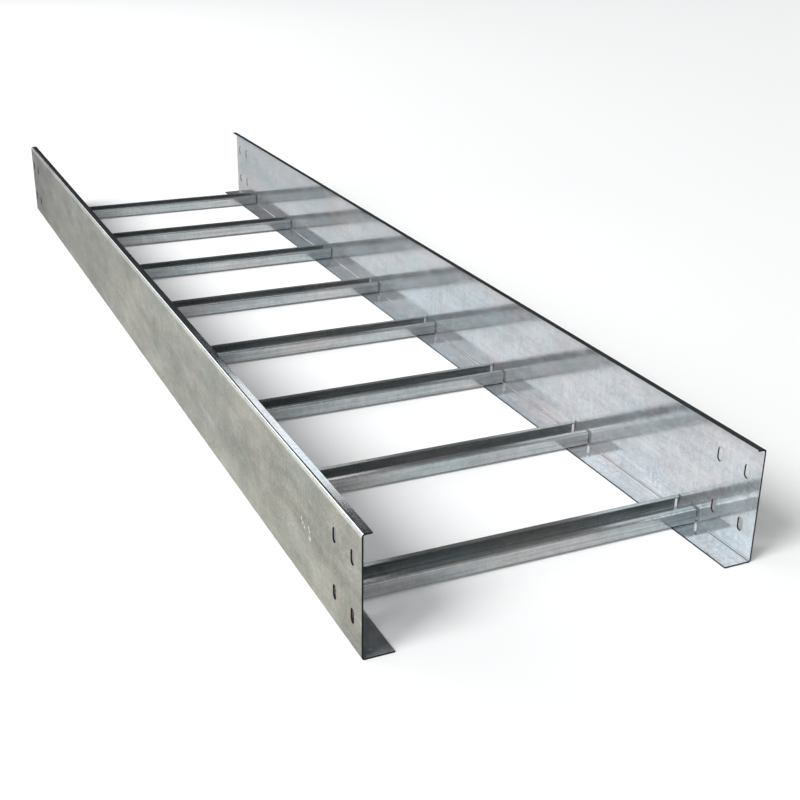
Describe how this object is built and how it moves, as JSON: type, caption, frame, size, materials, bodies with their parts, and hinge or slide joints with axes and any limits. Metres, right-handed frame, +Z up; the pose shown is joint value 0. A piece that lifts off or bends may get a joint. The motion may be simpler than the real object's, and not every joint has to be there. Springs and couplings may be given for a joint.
{
  "type": "cable ladder section",
  "caption": "Straight galvanised cable ladder section: two tall flanged side rails with coupling slots, joined by open-topped lipped channel rungs.",
  "frame": {"origin": "middle of the base, in the plane of the bottom flanges' undersides", "axes": "+X across the ladder towards the right rail, +Y along the ladder, +Z up"},
  "size_m": [0.504, 2, 0.15],
  "materials": {
    "galvanised_rail": "hot-dip galvanised sheet, dull to satin, with faint spangle and mottling",
    "galvanised_rung": "hot-dip galvanised sheet, satin"
  },
  "bodies": {
    "root": {"side_rail_left": "galvanised_rail", "side_rail_right": "galvanised_rail", "rung_1": "galvanised_rung", "rung_2": "galvanised_rung", "rung_3": "galvanised_rung", "rung_4": "galvanised_rung", "rung_5": "galvanised_rung", "rung_6": "galvanised_rung", "rung_7": "galvanised_rung", "rung_8": "galvanised_rung"}
  },
  "joints": []
}
